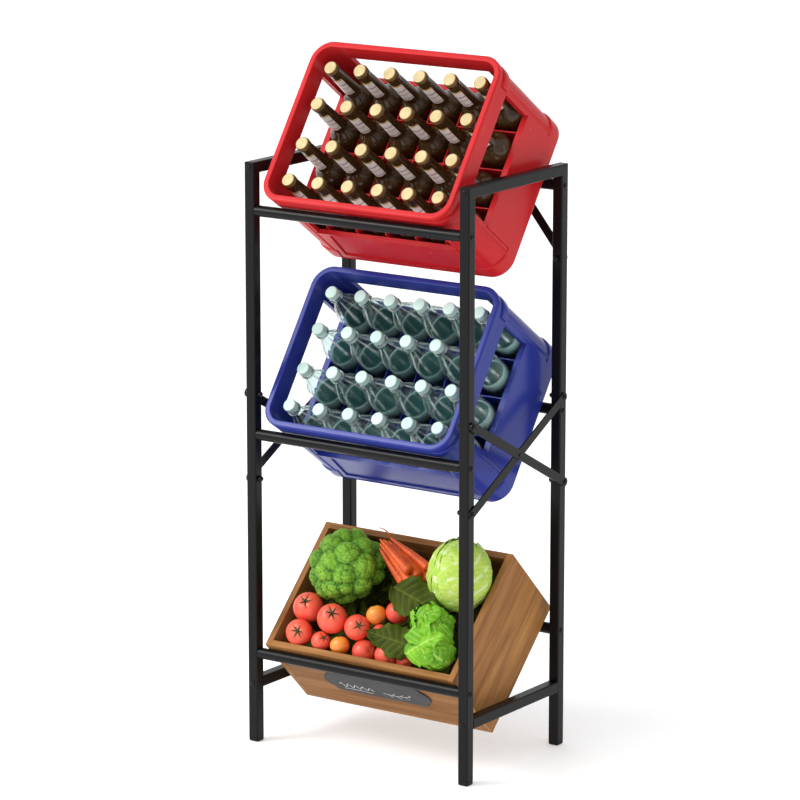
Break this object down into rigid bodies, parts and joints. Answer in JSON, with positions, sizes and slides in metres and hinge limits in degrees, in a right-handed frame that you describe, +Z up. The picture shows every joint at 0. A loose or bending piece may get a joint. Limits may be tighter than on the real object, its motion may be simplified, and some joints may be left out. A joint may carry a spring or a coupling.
{
  "type": "market crate stand",
  "caption": "Bolted black tube stand with tiers of round bars that hold leaning crates: bottle crates above, a wooden produce crate below.",
  "frame": {"origin": "on the floor under the middle of the stand and its crates", "axes": "+Z up, +X to the right and +Y to the back, seen from the front that the crates open to"},
  "size_m": [0.4872, 0.3661, 1.2467],
  "materials": {
    "black_powder_coat": "satin black powder coat",
    "black_plastic": "moulded, satin",
    "black_fasteners": "black oxide",
    "red_plastic": "moulded, semi-gloss",
    "blue_plastic": "moulded, semi-gloss",
    "brown_glass": "dark brown bottle glass",
    "gold_caps": "lacquered gold crown caps",
    "clear_plastic": "clear blown bottle plastic",
    "white_caps": "pale mint screw caps",
    "walnut_boards": "oiled walnut-toned boards",
    "steel_brads": "bright",
    "slate": "matt slate",
    "leaf_bed": "loose dark leaves",
    "broccoli_green": "broccoli florets",
    "cabbage_green": "pale cabbage leaves",
    "lettuce_green": "green lettuce leaves",
    "carrot_orange": "fresh carrots",
    "tomato_red": "smooth tomato skin",
    "tomato_orange": "smooth tomato skin",
    "leaf_green": "dark green leaves"
  },
  "bodies": {
    "frame": {"left_front_leg": "black_powder_coat", "right_front_leg": "black_powder_coat", "left_rear_leg": "black_powder_coat", "right_rear_leg": "black_powder_coat", "left_top_rail": "black_powder_coat", "right_top_rail": "black_powder_coat", "left_bottom_rail": "black_powder_coat", "right_bottom_rail": "black_powder_coat", "top_front_bar": "black_powder_coat", "middle_front_bar": "black_powder_coat", "bottom_front_bar": "black_powder_coat", "top_rear_bar": "black_powder_coat", "middle_rear_bar": "black_powder_coat", "bottom_rear_bar": "black_powder_coat", "left_rising_brace": "black_powder_coat", "left_falling_brace": "black_powder_coat", "right_rising_brace": "black_powder_coat", "right_falling_brace": "black_powder_coat", "left_corner_brace": "black_powder_coat", "right_corner_brace": "black_powder_coat", "feet": "black_plastic", "corner_connectors": "black_plastic", "bar_bolts": "black_fasteners", "rail_bolts": "black_fasteners", "rail_screws": "black_fasteners", "brace_bolts": "black_fasteners", "brace_cap_nuts": "black_fasteners", "brace_spacers": "black_fasteners", "brace_rivets": "black_fasteners", "corner_brace_bolts": "black_fasteners", "corner_brace_nuts": "black_fasteners"},
    "red_crate": {"red_crate_shell": "red_plastic", "red_long_dividers": "red_plastic", "red_cross_dividers": "red_plastic"},
    "beer_bottles_load": {"beer_bottles": "brown_glass", "crown_caps": "gold_caps"},
    "blue_crate": {"blue_crate_shell": "blue_plastic", "blue_long_dividers": "blue_plastic", "blue_cross_dividers": "blue_plastic"},
    "water_bottles_load": {"water_bottles": "clear_plastic", "screw_caps": "white_caps"},
    "wood_crate": {"wood_front_board": "walnut_boards", "wood_back_board": "walnut_boards", "wood_left_board": "walnut_boards", "wood_right_board": "walnut_boards", "wood_base_board": "walnut_boards", "crate_brads": "steel_brads", "slate_plaque": "slate", "produce_bed": "leaf_bed", "broccoli": "broccoli_green", "cabbage": "cabbage_green", "lettuces": "lettuce_green", "carrots": "carrot_orange", "red_tomatoes": "tomato_red", "orange_tomatoes": "tomato_orange", "loose_leaves": "leaf_green"}
  },
  "joints": [
    {"name": "red_crate_lift", "type": "slide", "parent": "frame", "child": "red_crate", "axis": [0, -0.8192, 0.5736], "range_m": [0, 0.26]},
    {"name": "beer_bottle_lift", "type": "slide", "parent": "red_crate", "child": "beer_bottles_load", "axis": [0, -0.8192, 0.5736], "range_m": [0, 0.215]},
    {"name": "blue_crate_lift", "type": "slide", "parent": "frame", "child": "blue_crate", "axis": [0, -0.8192, 0.5736], "range_m": [0, 0.18]},
    {"name": "water_bottle_lift", "type": "slide", "parent": "blue_crate", "child": "water_bottles_load", "axis": [0, -0.8192, 0.5736], "range_m": [0, 0.215]},
    {"name": "wood_crate_lift", "type": "slide", "parent": "frame", "child": "wood_crate", "axis": [0, -0.6293, 0.7771], "range_m": [0, 0.19]}
  ]
}
